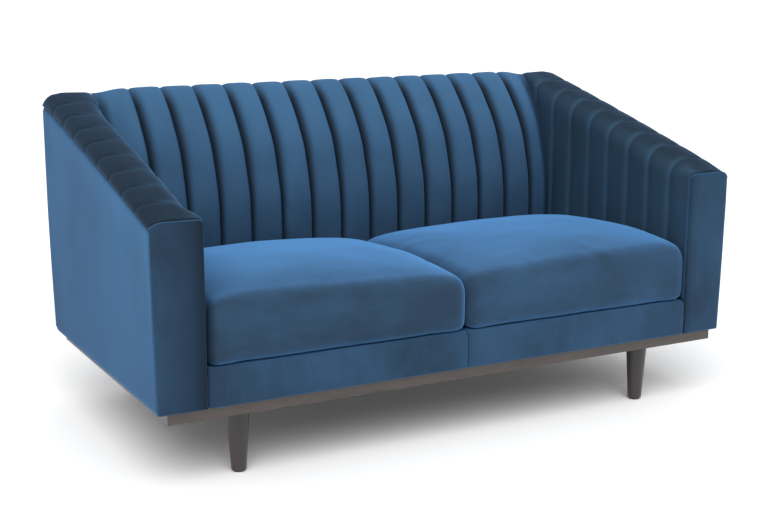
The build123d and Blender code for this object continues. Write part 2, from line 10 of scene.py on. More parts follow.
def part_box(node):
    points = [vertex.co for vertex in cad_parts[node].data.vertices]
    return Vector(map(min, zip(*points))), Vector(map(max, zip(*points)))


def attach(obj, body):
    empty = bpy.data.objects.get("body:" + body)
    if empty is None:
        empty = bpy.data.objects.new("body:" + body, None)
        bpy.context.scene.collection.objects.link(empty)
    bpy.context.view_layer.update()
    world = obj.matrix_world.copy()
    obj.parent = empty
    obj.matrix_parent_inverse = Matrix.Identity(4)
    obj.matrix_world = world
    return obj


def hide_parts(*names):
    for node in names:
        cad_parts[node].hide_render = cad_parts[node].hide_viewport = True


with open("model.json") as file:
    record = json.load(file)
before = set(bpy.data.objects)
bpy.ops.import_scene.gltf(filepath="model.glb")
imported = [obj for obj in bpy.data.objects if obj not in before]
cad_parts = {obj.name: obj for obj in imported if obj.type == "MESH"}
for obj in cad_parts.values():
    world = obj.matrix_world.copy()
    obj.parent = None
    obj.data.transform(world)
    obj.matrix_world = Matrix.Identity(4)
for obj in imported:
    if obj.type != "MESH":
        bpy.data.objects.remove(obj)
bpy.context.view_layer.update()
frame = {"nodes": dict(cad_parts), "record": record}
print("frame loaded,", len(frame["nodes"]), "nodes")


class Wire:
    # A value in a node tree, so shader maths reads as plain maths.
    def __init__(self, tree, socket):
        self.tree = tree
        self.socket = socket

    def math(self, operation, *values):
        maths = self.tree.nodes.new("ShaderNodeMath")
        maths.operation = operation
        for place, value in enumerate(values):
            fillSocket(self.tree, maths.inputs[place], value)
        return Wire(self.tree, maths.outputs[0])

    def __add__(self, other): return self.math("ADD", self, other)
    def __radd__(self, other): return self.math("ADD", other, self)
    def __sub__(self, other): return self.math("SUBTRACT", self, other)
    def __rsub__(self, other): return self.math("SUBTRACT", other, self)
    def __mul__(self, other): return self.math("MULTIPLY", self, other)
    def __rmul__(self, other): return self.math("MULTIPLY", other, self)
    def __pow__(self, other): return self.math("POWER", self, other)
    def __gt__(self, other): return self.math("GREATER_THAN", self, other)

    def clamped(self):
        held = self.math("ADD", self, 0.0)
        held.socket.node.use_clamp = True
        return held


def fillSocket(tree, socket, value):
    if isinstance(value, Wire):
        tree.links.new(value.socket, socket)
    elif isinstance(value, (tuple, list)):
        size = len(socket.default_value)
        socket.default_value = (list(value) + [1.0] * size)[:size]
    else:
        socket.default_value = value


class Finish:
    # One material being built: node() adds any node, shader() sets the surface.
    def __init__(self, name):
        self.material = bpy.data.materials.new(name)
        self.material.use_nodes = True
        self.tree = self.material.node_tree
        self.surface = self.tree.nodes["Principled BSDF"]

    def node(self, kind, settings=None, output=0, **values):
        made = self.tree.nodes.new("ShaderNode" + kind)
        for key, value in (settings or {}).items():
            setattr(made, key, value)
        for key, value in values.items():
            fillSocket(self.tree, made.inputs[key.replace("_", " ")], value)
        return Wire(self.tree, made.outputs[output])

    def place(self):
        return self.node("TexCoord", output="Object")

    def stretched(self, scale):
        return self.node("Mapping", Vector=self.place(), Scale=scale)

    def axis(self, name):
        return self.node("SeparateXYZ", output=name, Vector=self.place())

    def grain(self, scale, detail=3.0, rough=0.55, at=None):
        return self.node(
            "TexNoise", output="Fac", Vector=at or self.place(),
            Scale=scale, Detail=detail, Roughness=rough,
        )

    def mix(self, share, first, second):
        blended = self.tree.nodes.new("ShaderNodeMix")
        blended.data_type = "RGBA"
        fillSocket(self.tree, blended.inputs[0], share)
        fillSocket(self.tree, blended.inputs[6], first)
        fillSocket(self.tree, blended.inputs[7], second)
        return Wire(self.tree, blended.outputs[2])

    def bump(self, height, strength, distance):
        return self.node("Bump", Height=height, Strength=strength, Distance=distance)

    def shader(self, **values):
        for key, value in values.items():
            fillSocket(self.tree, self.surface.inputs[key.replace("_", " ")], value)
        return self.material


def faded(colour, share):
    return tuple(value * share for value in colour)


def dressed(piece, material):
    piece.data.materials.clear()
    piece.data.materials.append(material)
    return piece


velvetLook = {
    "sheenTint": (0.20, 0.48, 1.0),
    "sheen": 0.16,
    "sheenRoughness": 0.45,
    # How much the painted highlight pales raised flanks, and how deep the painted shade in grooves
    # goes.
    "paintedHighlightLift": 0.15,
    "grooveShade": 0.86,
}
# Lit and shaded copies of the one velvet, one for each panel, each set paler or darker for how
# the light falls on it. deep and pale are its colours end on and from the side, lift is how pale
# it starts, a painted sheen pales it where the surface turns away, as much and as sharply as its
# strength and turn say, rise and sweep are painted light and shade that pale it upwards and
# forwards, brush the strength of the brush marks and streaks how they are drawn out.
panelNapAndLight = {
    "back": {
        "deep": (0.017, 0.040, 0.075), "pale": (0.066, 0.190, 0.372), "lift": 0.19, "paintedSheen": 0.45,
        "turn": 2.2, "rise": 0.90, "sweep": 0.0, "brush": 0.17, "streaks": (1.0, 1.0, 0.35),
    },
    "arm": {
        "deep": (0.0130, 0.0290, 0.0465), "pale": (0.072, 0.180, 0.320), "lift": 0.11, "paintedSheen": 1.50,
        "turn": 6.0, "rise": -0.30, "sweep": 0.0, "brush": 0.13, "streaks": (1.0, 1.0, 0.35),
    },
    "seat": {
        "deep": (0.018, 0.039, 0.069), "pale": (0.086, 0.262, 0.560), "lift": 0.07, "paintedSheen": 1.40,
        "turn": 1.8, "rise": 0.5, "sweep": 0.0, "brush": 0.20, "streaks": (0.45, 1.0, 1.0),
    },
    "side": {
        "deep": (0.017, 0.043, 0.083), "pale": (0.055, 0.165, 0.330), "lift": 0.20, "paintedSheen": 0.60,
        "turn": 2.0, "rise": 0.25, "sweep": 0.42, "brush": 0.30, "streaks": (1.0, 1.0, 0.30),
    },
    "front": {
        "deep": (0.0145, 0.032, 0.059), "pale": (0.064, 0.185, 0.365), "lift": 0.09, "paintedSheen": 0.85,
        "turn": 2.0, "rise": 0.0, "sweep": 0.0, "brush": 0.27, "streaks": (1.0, 1.0, 0.5),
    },
}


def makeVelvet(name, napAndLight):
    velvet = Finish(name)
    streaks = velvet.grain(9.0, 5.0, 0.6, velvet.stretched(napAndLight["streaks"]))
    blotches = velvet.grain(3.2, 3.0, 0.5)
    pile = velvet.grain(900.0, 2.0, 0.7)
    weave = velvet.grain(260.0, 3.0, 0.65)
    # The attribute holds each point's painted shade, and below zero its painted highlight.
    paintedShadeAndHighlight = velvet.node("Attribute", {"attribute_name": "groove"}, output="Fac")
    groove = paintedShadeAndHighlight.clamped()
    paintedHighlight = (0.0 - paintedShadeAndHighlight).clamped()
    brushed = ((streaks - 0.5) * 1.6 + (blotches - 0.5) * 1.3) * napAndLight["brush"]
    # A painted sheen: the velvet pales where its surface turns away from the camera.
    rim = velvet.node("LayerWeight", output="Facing", Blend=0.36)
    # Painted light and shade: paler upwards and towards the front.
    rise = (velvet.axis("Z") - 0.5) * napAndLight["rise"] - velvet.axis("Y") * napAndLight["sweep"]
    lift = rim ** napAndLight["turn"] * napAndLight["paintedSheen"] + brushed + rise + (weave - 0.5) * 0.10 + napAndLight["lift"]
    # A painted highlight pales the raised flanks.
    lift = (lift + paintedHighlight * velvetLook["paintedHighlightLift"]).clamped()
    # Painted shade keeps the grooves and other shaded places from paling.
    colour = velvet.mix(lift * (1.0 - groove), napAndLight["deep"], napAndLight["pale"])
    colour = velvet.mix((pile - 0.35).clamped() * 0.35, colour, napAndLight["deep"])
    # Painted shade darkens the grooves and other shaded places.
    colour = velvet.mix(groove * velvetLook["grooveShade"], colour, faded(napAndLight["deep"], 0.12))
    height = pile * 0.6 + weave * 0.8 + streaks * 0.5
    return velvet.shader(
        Base_Color=colour,
        Roughness=0.85 + brushed * 0.3,
        Specular_IOR_Level=0.12,
        Sheen_Weight=velvetLook["sheen"],
        Sheen_Roughness=velvetLook["sheenRoughness"],
        Sheen_Tint=velvetLook["sheenTint"],
        Normal=velvet.bump(height, 0.16, 0.0006),
    )


def makeDarkWood(name, along, base, pale, warmth):
    wood = Finish(name)
    scale = [30.0, 30.0, 30.0]
    scale["XYZ".index(along)] = 1.6
    lines = wood.grain(3.0, 6.0, 0.62, wood.stretched(scale))
    pores = wood.grain(14.0, 3.0, 0.7, wood.stretched(scale))
    patches = wood.grain(7.0, 2.0, 0.5)
    tone = (lines * 0.75 + patches * 0.35 - 0.1).clamped()
    colour = wood.mix(tone, base, pale)
    colour = wood.mix((patches - 0.35).clamped() * 0.6, colour, warmth)
    pit = (pores > 0.62) * 0.5
    colour = wood.mix(pit, colour, faded(base, 0.55))
    return wood.shader(
        Base_Color=colour,
        Roughness=0.36 + (lines - 0.5) * 0.18 + pit * 0.2,
        Specular_IOR_Level=0.45,
        Coat_Weight=0.18,
        Coat_Roughness=0.22,
        Normal=wood.bump(lines * 0.5 - pit * 0.7, 0.22, 0.0004),
    )


def makeRawTimber(name):
    timber = Finish(name)
    lines = timber.grain(4.0, 5.0, 0.6, timber.stretched((3.0, 14.0, 14.0)))
    knots = timber.grain(2.2, 2.0, 0.5)
    saw = timber.grain(160.0, 2.0, 0.6)
    colour = timber.mix((lines * 1.3 - 0.2).clamped(), (0.50, 0.33, 0.17), (0.74, 0.58, 0.36))
    colour = timber.mix((knots > 0.68) * 0.5, colour, (0.25, 0.14, 0.06))
    return timber.shader(
        Base_Color=colour,
        Roughness=0.72 + (saw - 0.5) * 0.2,
        Normal=timber.bump(saw + lines, 0.3, 0.0006),
    )


def makeBoard(name):
    board = Finish(name)
    fibres = board.grain(120.0, 5.0, 0.7)
    patches = board.grain(6.0, 3.0, 0.5)
    colour = board.mix(fibres, (0.20, 0.115, 0.058), (0.36, 0.23, 0.13))
    colour = board.mix(patches * 0.35, colour, (0.15, 0.09, 0.05))
    return board.shader(
        Base_Color=colour,
        Roughness=0.6 + fibres * 0.2,
        Normal=board.bump(fibres, 0.3, 0.0004),
    )


def makeSteel(name):
    steel = Finish(name)
    spangle = steel.node("TexVoronoi", output="Color", Vector=steel.place(), Scale=180.0)
    shade = steel.node("SeparateColor", output=0, Color=spangle)
    smears = steel.grain(40.0, 3.0, 0.6)
    tone = (shade * 0.6 + smears * 0.4).clamped()
    colour = steel.mix(tone, (0.42, 0.43, 0.44), (0.66, 0.66, 0.64))
    return steel.shader(
        Base_Color=colour,
        Metallic=1.0,
        Roughness=0.32 + smears * 0.2,
        Normal=steel.bump(smears, 0.1, 0.0003),
    )


def makeNylon(name):
    nylon = Finish(name)
    scuffs = nylon.grain(150.0, 3.0, 0.7)
    colour = nylon.mix((scuffs - 0.45).clamped(), (0.020, 0.020, 0.021), (0.075, 0.074, 0.072))
    return nylon.shader(
        Base_Color=colour,
        Roughness=0.5 + scuffs * 0.25,
        Normal=nylon.bump(scuffs, 0.25, 0.0003),
    )


def makeCloth(name, dark, pale, threads):
    cloth = Finish(name)
    warp, weft = (
        cloth.node(
            "TexWave", {"bands_direction": axis}, output="Fac",
            Vector=cloth.place(), Scale=threads, Distortion=0.6, Detail=1.0,
        )
        for axis in "XY"
    )
    fibres = cloth.grain(300.0, 4.0, 0.7)
    patches = cloth.grain(5.0, 3.0, 0.5)
    cells = warp * weft
    colour = cloth.mix((cells * 0.6 + fibres * 0.5).clamped(), dark, pale)
    colour = cloth.mix((patches - 0.4).clamped() * 0.5, colour, dark)
    return cloth.shader(
        Base_Color=colour,
        Roughness=0.92 + (fibres - 0.5) * 0.1,
        Sheen_Weight=0.1,
        Normal=cloth.bump(cells + fibres * 0.6, 0.35, 0.0006),
    )


def makeFoam(name):
    foam = Finish(name)
    cells = foam.node(
        "TexVoronoi", {"feature": "DISTANCE_TO_EDGE"}, output="Distance",
        Vector=foam.place(), Scale=320.0,
    )
    patches = foam.grain(5.0, 3.0, 0.5)
    colour = foam.mix((cells * 6.0).clamped(), (0.58, 0.50, 0.34), (0.86, 0.80, 0.64))
    colour = foam.mix(patches * 0.3, colour, (0.80, 0.70, 0.48))
    return foam.shader(
        Base_Color=colour,
        Roughness=0.9 + (patches - 0.5) * 0.1,
        Normal=foam.bump(cells, 0.5, 0.001),
    )


# Lit and shaded copies of the one velvet: each panel's copy carries its own painted sheen, light
# and shade.
velvetBack = makeVelvet("velvetBack", panelNapAndLight["back"])
velvetArm = makeVelvet("velvetArm", panelNapAndLight["arm"])
velvetSeat = makeVelvet("velvetSeat", panelNapAndLight["seat"])
velvetSide = makeVelvet("velvetSide", panelNapAndLight["side"])
velvetFront = makeVelvet("velvetFront", panelNapAndLight["front"])
plinthColours = [(0.029, 0.025, 0.0235), (0.078, 0.063, 0.057), (0.074, 0.052, 0.043)]
plinthWood = makeDarkWood("plinthWood", "X", *plinthColours)
plinthEndWood = makeDarkWood("plinthSideWood", "Y", *plinthColours)
legColours = [(0.0135, 0.0115, 0.011), (0.046, 0.038, 0.036), (0.045, 0.033, 0.028)]
legWood = makeDarkWood("legWood", "Z", *legColours)
rawTimber = makeRawTimber("rawTimber")
hardboard = makeBoard("hardboard")
zincSteel = makeSteel("zincSteel")
gliderNylon = makeNylon("nylon")
liningCloth = makeCloth("liningCloth", (0.010, 0.010, 0.011), (0.040, 0.040, 0.042), 140.0)
deckCloth = makeCloth("deckCloth", (0.018, 0.026, 0.040), (0.050, 0.066, 0.092), 110.0)
strapCloth = makeCloth("strapCloth", (0.20, 0.17, 0.12), (0.48, 0.42, 0.32), 120.0)
zipCloth = makeCloth("zipCloth", (0.016, 0.040, 0.075), (0.045, 0.095, 0.170), 260.0)
seatFoam = makeFoam("seatFoam")
slotFinish = {
    "leg_wood": legWood,
    "plinth_wood": plinthWood,
    "frame_timber": rawTimber,
    "fibreboard": hardboard,
    "zinc_steel": zincSteel,
    "glide_plastic": gliderNylon,
    "black_lining": liningCloth,
    "webbing": strapCloth,
    "deck_felt": deckCloth,
    "foam": seatFoam,
    "zip_tape": zipCloth,
    "velvet": velvetSide,
}
for part in frame["record"]["subparts"]:
    dressed(frame["nodes"][part["node"]], slotFinish[part["material_slot"]])
dressed(frame["nodes"]["plinth_side_rails"], plinthEndWood)
print("materials ready")


def newPiece(name, bm, material, body="sofa"):
    mesh = bpy.data.meshes.new(name)
    bm.to_mesh(mesh)
    bm.free()
    piece = bpy.data.objects.new(name, mesh)
    bpy.context.scene.collection.objects.link(piece)
    for polygon in mesh.polygons:
        polygon.use_smooth = True
    dressed(piece, material)
    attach(piece, body)
    return piece


def skinFromRings(rings, shades=None):
    # A closed padded form: a sheet wrapped round every ring, joined up and closed at both ends.
    # The shades are each point's painted shade, deepest in grooves and other shaded places, and
    # below zero its painted highlight.
    along = len(rings)
    around = len(rings[0])
    bm = bmesh.new()
    groove = bm.verts.layers.float.new("groove")
    bmesh.ops.create_grid(bm, x_segments=along - 1, y_segments=around, size=0.5)
    for vert in bm.verts:
        row = round((vert.co.x + 0.5) * (along - 1))
        column = round((vert.co.y + 0.5) * around) % around
        vert.co = rings[row][column]
        if shades and column < len(shades[row]):
            vert[groove] = shades[row][column]
    bmesh.ops.remove_doubles(bm, verts=bm.verts, dist=0.00002)
    bmesh.ops.holes_fill(bm, edges=[edge for edge in bm.edges if edge.is_boundary])
    bmesh.ops.recalc_face_normals(bm, faces=bm.faces)
    return bm


def mirroredRings(rings):
    return [[Vector((-point.x, point.y, point.z)) for point in ring] for ring in rings]


def flowThrough(points, steps):
    # A smooth line through a few places, as a bent spring would take.
    line = []
    ends = [points[0] * 2 - points[1]] + list(points) + [points[-1] * 2 - points[-2]]
    for place in range(1, len(ends) - 2):
        before, start, finish, after = ends[place - 1:place + 3]
        for step in range(steps):
            t = step / steps
            line.append(
                0.5 * (
                    2 * start
                    + (finish - before) * t
                    + (2 * before - 5 * start + 4 * finish - after) * t * t
                    + (3 * start - before - 3 * finish + after) * t * t * t
                )
            )
    line.append(points[-1])
    return line


def evenly(line, count):
    # The same line with its points set at equal spacing.
    lengths = [0.0]
    for first, second in zip(line[:-1], line[1:]):
        lengths.append(lengths[-1] + (second - first).length)
    spaced = []
    place = 0
    for step in range(count):
        target = lengths[-1] * step / (count - 1)
        while place < len(line) - 2 and lengths[place + 1] < target:
            place += 1
        span = max(lengths[place + 1] - lengths[place], 1e-9)
        spaced.append(line[place].lerp(line[place + 1], (target - lengths[place]) / span))
    return spaced


def fullness(t, sharpness):
    # 0 in the middle of a channel, 1 down in its groove, with steep sides.
    side = min(abs(2.0 * t - 1.0), 1.0)
    return 1.0 - sqrt(max(0.0, 1.0 - side ** sharpness))


def channelStations(edges, count):
    # Places across the channels, closer together near the grooves.
    stations = []
    for number, (low, high) in enumerate(zip(edges[:-1], edges[1:])):
        for step in range(count + (1 if number == len(edges) - 2 else 0)):
            t = 0.5 - 0.5 * cos(pi * step / count)
            stations.append((low + (high - low) * t, t, number))
    return stations


def ease(value):
    value = min(max(value, 0.0), 1.0)
    return value * value * (3.0 - 2.0 * value)


def roundOver(share):
    # How far a rounded edge falls away: 1 at its very edge, 0 once the edge is passed.
    return 1.0 - sqrt(max(0.0, 1.0 - max(0.0, 1.0 - share) ** 2))


def ripple(point, size, amount):
    return noise.noise(point / size) * amount


backLook = {
    "channels": 15,
    "pitch": 0.084,
    "grooveDepth": 0.0150,
    "crestDepth": 0.0060,
    "sharpness": 4.2,
    "across": 18,
    "around": 84,
    "cornerTuck": 0.046,
    "cornerDrop": 0.010,
    # This and the next two set the painted shade: its strength by the arm at the outer edges, and
    # how far it runs over the two flanks of each groove.
    "cornerShade": 0.7,
    "flank": 0.015,
    "stitch": 0.0028,
    "ripple": 0.0012,
}
backLow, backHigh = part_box("back_channel_pad")
backFace = backLow.y
seatTop = backLow.z
# The back's face from the seat up and over: how far behind the face, how far above the seat.
backCrest = [
    (0.0, 0.0), (0.0, 0.090), (0.0, 0.178), (0.006, 0.249), (0.023, 0.311), (0.045, 0.372),
    (0.078, 0.424), (0.120, 0.472), (0.160, 0.505), (0.190, 0.519), (0.204, 0.512),
    (0.213, 0.494), (0.2145, 0.4815),
]
crestPoints = [Vector((0.0, backFace + y, seatTop + z)) for y, z in backCrest]
backLine = evenly(flowThrough(crestPoints, 12), backLook["around"])
# The unseen side of the pad, against the frame.
backHidden = [
    Vector((0.0, backHigh.y - 0.014, seatTop + 0.480)),
    Vector((0.0, backHigh.y - 0.066, seatTop + 0.478)),
    Vector((0.0, backFace + 0.078, seatTop + 0.258)),
    Vector((0.0, backFace + 0.060, seatTop + 0.02)),
    Vector((0.0, backFace + 0.060, seatTop)),
]


def backNormals(line):
    normals = []
    for place in range(len(line)):
        run = line[min(place + 1, len(line) - 1)] - line[max(place - 1, 0)]
        normals.append(Vector((0.0, run.z, -run.y)).normalized())
    return normals


def fadeOut(distance):
    return 2.0 ** -(distance ** 2 * 1.5)


def flankShade(t, span, wide, tight):
    # Painted shade in a groove: darkest at its stitching, fading faster over one flank than over
    # the other.
    return max(fadeOut(t * span / wide), fadeOut((1.0 - t) * span / tight))


def makeBackRings(look):
    half = backHigh.x
    middle = look["channels"] / 2
    grooves = [look["pitch"] * (number - middle) for number in range(1, look["channels"])]
    stations = channelStations([-half] + grooves + [half], look["across"])
    normals = backNormals(backLine)
    rings = []
    shades = []
    for x, t, number in stations:
        outermost = number in (0, look["channels"] - 1)
        edgeSide = outermost and (t < 0.5) == (number == 0)
        corner = ease((abs(x) - grooves[-1]) / (half - grooves[-1]))
        ring = []
        shade = []
        for place, (point, normal) in enumerate(zip(backLine, normals)):
            up = place / (len(backLine) - 1)
            crest = ease((up - 0.70) / 0.25)
            depth = look["grooveDepth"] + (look["crestDepth"] - look["grooveDepth"]) * crest
            sink = 0.0 if edgeSide else depth * fullness(t, look["sharpness"])
            fade = 1.0 - ease((up - 0.52) / 0.45)
            tuck = look["cornerTuck"] * corner ** 1.5 * (0.20 + 0.80 * fade)
            soft = ripple(Vector((x, point.y, point.z)), 0.05, look["ripple"])
            moved = point + normal * (sink + soft)
            moved.y += tuck * (1.0 - ease((up - 0.88) / 0.08))
            moved.z -= look["cornerDrop"] * corner ** 1.4 * ease((up - 0.6) / 0.2)
            ring.append(Vector((x, moved.y, moved.z)))
            # Painted shade down each groove, and at the outer edges by the arm, fading out over the
            # crest.
            wide = look["flank"] * (0.55 + 0.45 * ease((up - 0.25) / 0.4))
            dark = flankShade(t, look["pitch"], wide, look["stitch"])
            if edgeSide:
                dark = look["cornerShade"] * ease((corner - 0.74) / 0.26)
            shade.append(dark * (1.0 - 0.75 * ease((up - 0.80) / 0.12)))
        drop = look["cornerDrop"] * corner
        ring += [Vector((x, point.y, point.z - drop)) for point in backHidden]
        rings.append(ring)
        shades.append(shade)
    return rings, shades


backPad = newPiece("backChannels", skinFromRings(*makeBackRings(backLook)), velvetBack)
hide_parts("back_channel_pad")
print("back ready")


armLook = {
    "firstGroove": 0.091,
    "pitch": 0.085,
    "channels": 9,
    "seamBow": 0.005,
    "frontCrown": 0.019,
    "rearCrown": 0.033,
    "roll": 0.050,
    "frontRoll": 0.010,
    "rearRoll": 0.012,
    "openingRun": 0.075,
    "closingStart": 0.045,
    "closingRun": 0.100,
    "rearTurn": 0.024,
    "rearTrim": 0.0135,
    "flatTop": 0.62,
    "outerRound": 0.026,
    "places": 54,
    "grooveDepth": 0.0105,
    "topDepth": 0.0050,
    "sharpness": 3.6,
    "across": 14,
    # This and the next three set the painted light: how far a painted highlight runs over each
    # raised flank, how far and how strong the painted shade over the other flank, and how much
    # painted shade over the top.
    "paintedHighlight": 0.010,
    "flank": 0.024,
    "flankShade": 0.22,
    "topShade": 0.66,
    "ripple": 0.0010,
}
padLow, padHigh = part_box("right_arm_channel_pad")
panelLow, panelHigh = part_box("right_arm_front_panel")
coverLow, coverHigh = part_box("right_arm_outer_cover")
frontY = coverLow.y
rearY = coverHigh.y
frontSeam = panelHigh.z - 0.017
rearSeam = coverHigh.z


def seamHeight(y):
    # The height of the sloping seam between the arm's channels and its side.
    t = min(max((y - frontY) / (rearY - 0.012 - frontY), 0.0), 1.0)
    return frontSeam + (rearSeam - frontSeam) * t + 4.0 * armLook["seamBow"] * t * (1.0 - t)


def rearDrop(y):
    # How far the arm's crown has rounded down towards the outer back, from 0 to 1.
    turn = armLook["rearTurn"]
    t = min(max((y - (rearY - turn)) / turn, 0.0), 1.0)
    return 1.0 - sqrt(1.0 - t * t)


def makeArmRings(look):
    first = frontY + look["firstGroove"]
    grooves = [first + look["pitch"] * number for number in range(look["channels"] - 1)]
    edges = [panelHigh.y] + grooves + [rearY]
    stations = channelStations(edges, look["across"])
    inner = padLow.x
    outer = padHigh.x
    last = look["places"] - 1
    rings = []
    shades = []
    for y, t, number in stations:
        seam = seamHeight(y)
        opening = ease((y - panelHigh.y) / look["openingRun"])
        closing = ease((rearY - look["closingStart"] - y) / look["closingRun"])
        rearward = (y - frontY) / (rearY - frontY)
        crown = look["frontCrown"] + (look["rearCrown"] - look["frontCrown"]) * rearward
        crown *= (0.80 + 0.20 * opening) * (1.0 - 0.92 * rearDrop(y))
        top = seam + crown
        roll = look["frontRoll"] + (look["roll"] - look["frontRoll"]) * opening
        roll = look["rearRoll"] + (roll - look["rearRoll"]) * closing
        atEnd = (number == 0 and t < 0.5) or (number == look["channels"] - 1 and t > 0.5)
        sink = 0.0 if atEnd else fullness(t, look["sharpness"])
        line = [Vector((inner, y, seatTop)), Vector((inner, y, top - roll))]
        for step in range(1, 9):
            turn = pi / 2 * step / 8
            line.append(Vector((inner + roll * (1 - cos(turn)), y, top - roll * (1 - sin(turn)))))
        line.append(Vector((inner + (outer - inner) * look["flatTop"], y, top + 0.0015)))
        line.append(Vector((outer - look["outerRound"], y, top - 0.002)))
        for step in range(1, 6):
            turn = pi / 2 * step / 5
            x = outer - look["outerRound"] * (1 - sin(turn))
            line.append(Vector((x, y, seam + (crown - 0.002) * cos(turn))))
        line = evenly(line, look["places"])
        ring = []
        shade = []
        # A painted highlight along one flank of each groove, and painted shade over the other.
        paintedHighlight = 0.0 if number == 0 else fadeOut(t * look["pitch"] / look["paintedHighlight"])
        dark = 0.0 if atEnd else fadeOut((1.0 - t) * look["pitch"] / look["flank"])
        for place, point in enumerate(line):
            run = line[min(place + 1, last)] - line[max(place - 1, 0)]
            normal = Vector((run.z, 0.0, -run.x)).normalized()
            up = place / last
            overTop = ease((up - 0.55) / 0.2)
            depth = look["grooveDepth"] + (look["topDepth"] - look["grooveDepth"]) * overTop
            across = (point.x - inner) / (outer - inner)
            depth *= 1.0 - 0.50 * ease((across - 0.50) / 0.38)
            soft = ripple(point, 0.05, look["ripple"]) * (1.0 - ease((up - 0.9) / 0.1))
            ring.append(point + normal * (depth * sink + soft))
            # Painted shade over the top; the flank marks fade out towards the outer side.
            shown = 1.0 - ease((across - 0.30) / 0.45)
            mark = (look["flankShade"] * dark - paintedHighlight) * shown
            shade.append(look["topShade"] * ease((across - 0.04) / 0.34) + mark)
        under = seam - 0.020
        board = padLow.x + 0.0255
        ring += [
            Vector((coverLow.x, y, seam - 0.001)),
            Vector((coverLow.x, y, under)),
            Vector((board, y, under)),
            Vector((board, y, seatTop)),
        ]
        # Below the rear seam the pad stops at the frame, in front of the outer back.
        stop = min(y, rearY - look["rearTrim"])
        low = rearSeam - 0.001
        rings.append([Vector((point.x, stop if point.z < low else y, point.z)) for point in ring])
        shades.append(shade)
    return rings, shades


armRings, armShades = makeArmRings(armLook)
for side, rings in (("right", armRings), ("left", mirroredRings(armRings))):
    armPad = newPiece(side + "ArmChannels", skinFromRings(rings, armShades), velvetArm)
    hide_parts(side + "_arm_channel_pad")


panelLook = {
    "softEdge": 0.0060,
    "outerEdge": 0.0085,
    "outerInset": 0.0016,
    "innerCorner": 0.010,
    "outerCorner": 0.017,
    "bulge": 0.0026,
    "rows": 60,
    "across": 18,
}
coverLook = {
    "foot": 0.0065,
    "widest": 0.500,
    "corner": 0.0075,
    "behind": 0.0045,
    "softEdge": 0.0045,
    "rows": 44,
    "ripple": 0.0012,
}


def sideLean(z):
    # The outer side leans in from its widest line down to the plinth.
    down = 1.0 - min(max((z - coverLow.z) / (coverLook["widest"] - coverLow.z), 0.0), 1.0)
    return coverLook["foot"] * down ** 1.4


def panelTop(x):
    # The panel's top edge: tight at the inner corner, rounded down at the outer one.
    t = (x - panelLow.x) / (padHigh.x - panelLow.x)
    rise = frontSeam + 0.015 + 0.002 * t
    inner = min(t / 0.08, 1.0)
    rise -= panelLook["innerCorner"] * (1.0 - sqrt(max(0.0, 1.0 - (1.0 - inner) ** 2)))
    outer = min(max((t - 0.72) / 0.28, 0.0), 1.0)
    return rise - panelLook["outerCorner"] * (1.0 - sqrt(max(0.0, 1.0 - outer * outer)))


def makePanelRings(look, inward):
    # Painted shade darkens the panel towards the seat, by the inward share, with a little more over
    # its inner third.
    low = panelLow.x
    front = frontY
    rear = panelHigh.y
    edge = look["softEdge"]
    rings = []
    shades = []
    for row in range(look["rows"] + 1):
        v = 0.5 - 0.5 * cos(pi * row / look["rows"])
        level = panelLow.z + (frontSeam - panelLow.z) * v
        high = coverHigh.x - sideLean(level) - look["outerInset"]
        ring = []
        shades.append([])
        for column in range(look["across"] + 1):
            u = 0.5 - 0.5 * cos(pi * column / look["across"])
            shades[-1].append(inward * (1.0 - u) ** 1.2 + 0.25 * ease(1.0 - u / 0.3))
            x = low + (high - low) * u
            topZ = panelTop(x)
            z = panelLow.z + (topZ - panelLow.z) * v
            near = min(x - low, z - panelLow.z, topZ - z)
            rounding = edge * roundOver(near / edge)
            rounding += look["outerEdge"] * roundOver((high - x) / look["outerEdge"])
            puff = look["bulge"] * sin(pi * u) * min(1.0, sin(pi * v) * 3.0)
            wave = ripple(Vector((x, front, z)), 0.09, 0.0010)
            y = front + rounding + 0.0004 - puff * 0.4 + wave
            ring.append(Vector((x, max(y, front - 0.001), z)))
        topHigh = panelTop(high)
        topLow = panelTop(low)
        ring += [
            Vector((high, rear, panelLow.z + (topHigh - panelLow.z) * v)),
            Vector((low, rear, panelLow.z + (topLow - panelLow.z) * v)),
        ]
        rings.append(ring)
    return rings, shades


# The left panel carries more painted shade than the right.
for side, inward in (("right", 0.0), ("left", 0.55)):
    rings, shades = makePanelRings(panelLook, inward)
    if side == "left":
        rings = mirroredRings(rings)
    panel = newPiece(side + "ArmPanel", skinFromRings(rings, shades), velvetFront)
    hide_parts(side + "_arm_front_panel")


